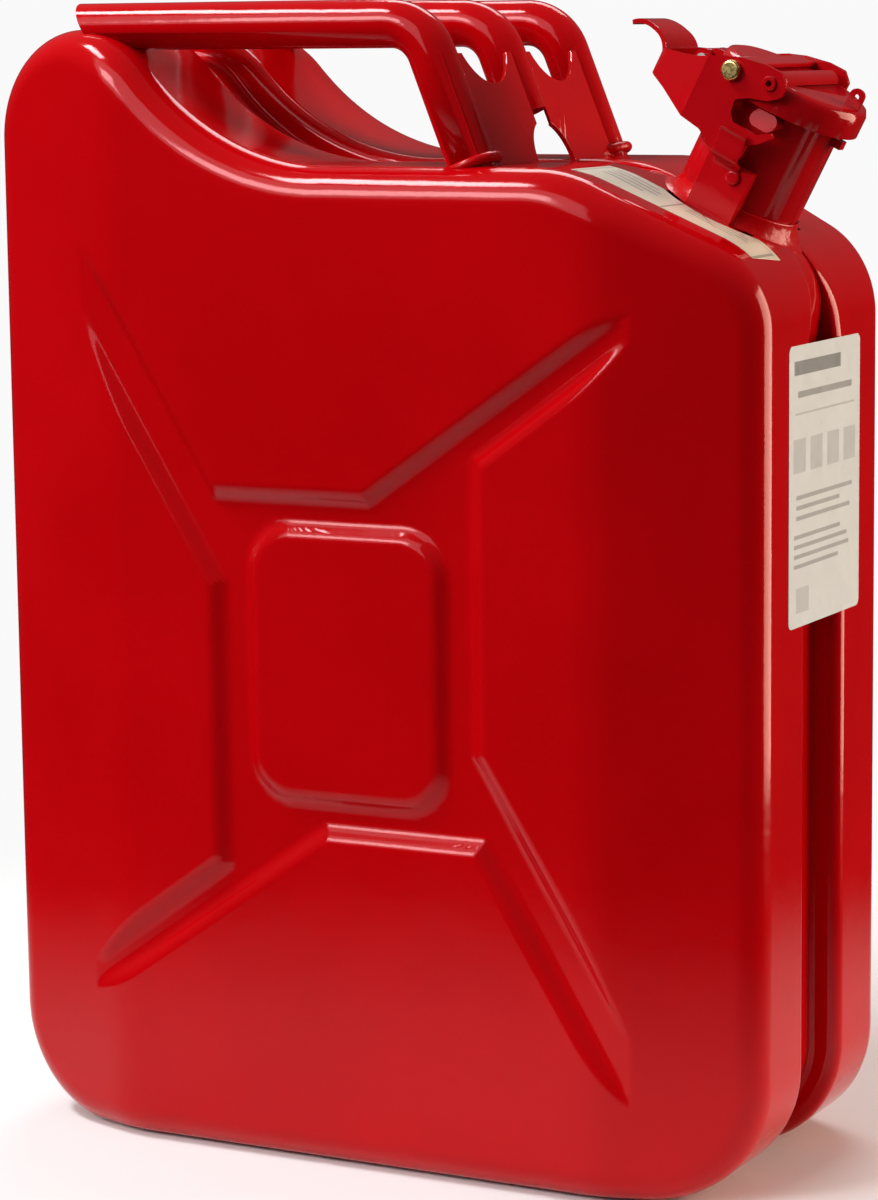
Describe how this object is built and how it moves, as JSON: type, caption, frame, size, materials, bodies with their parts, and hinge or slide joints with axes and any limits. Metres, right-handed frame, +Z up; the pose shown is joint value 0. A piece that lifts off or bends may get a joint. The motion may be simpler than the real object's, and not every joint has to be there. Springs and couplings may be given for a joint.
{
  "type": "safety gas can",
  "caption": "Upright pressed-steel fuel can with an indented cross on each face, a triple-bar carrying handle and a tilted neck closed by a hinged cap with a cam lever.",
  "frame": {"origin": "middle of the base, on the surface the can stands on, in the plane of the seam between its two shells", "axes": "+Z up, +X towards the spout end, -Y towards the near broad face, on which the lever's tab is at the left and the spout at the right"},
  "size_m": [0.361, 0.164, 0.4705],
  "materials": {
    "red_paint": "deep glossy red stove enamel",
    "closure_paint": "glossy red enamel, worn at the edges of the pressings",
    "gasket_rubber": "matt black fuel-resistant rubber",
    "zinc_steel": "zinc-plated steel",
    "pin_brass": "yellow-passivated steel with a brassy tone",
    "breather_steel": "plain drawn steel",
    "label_film": "off-white printed film, satin"
  },
  "bodies": {
    "can": {"front_shell": "red_paint", "rear_shell": "red_paint", "seam_weld": "red_paint", "neck_tube": "red_paint", "neck_weld": "red_paint", "breather_tube": "breather_steel", "trunnion_lug_near": "closure_paint", "trunnion_lug_far": "closure_paint", "hinge_bracket": "closure_paint", "bracket_rivets": "closure_paint", "neck_seal_lug": "closure_paint", "hinge_pin": "zinc_steel", "handle_bar_near": "red_paint", "handle_bar_middle": "red_paint", "handle_bar_far": "red_paint", "handle_web_plate": "red_paint", "handle_welds": "red_paint", "side_label": "label_film", "top_label": "label_film"},
    "cap": {"cap_shell": "closure_paint", "cap_gasket": "gasket_rubber", "cap_cross_barrel": "closure_paint", "cap_hinge_arm": "closure_paint", "cap_seal_ear": "closure_paint", "lever_pivot_pin": "closure_paint"},
    "lever": {"lever": "closure_paint", "lever_cross_plate": "closure_paint"},
    "locking_pin": {"locking_pin": "pin_brass"}
  },
  "joints": [
    {"name": "cap_hinge", "type": "hinge", "parent": "can", "child": "cap", "pos_m": [0.12494, 0, 0.44653], "axis": [0, -1, 0], "range_deg": [0, 70]},
    {"name": "lever_pivot", "type": "hinge", "parent": "cap", "child": "lever", "pos_m": [0.16267, 0, 0.43693], "axis": [0, 1, 0], "range_deg": [0, 80]},
    {"name": "locking_pin_slide", "type": "slide", "parent": "lever", "child": "locking_pin", "axis": [0, -1, 0], "range_m": [0, 0.0035]}
  ]
}
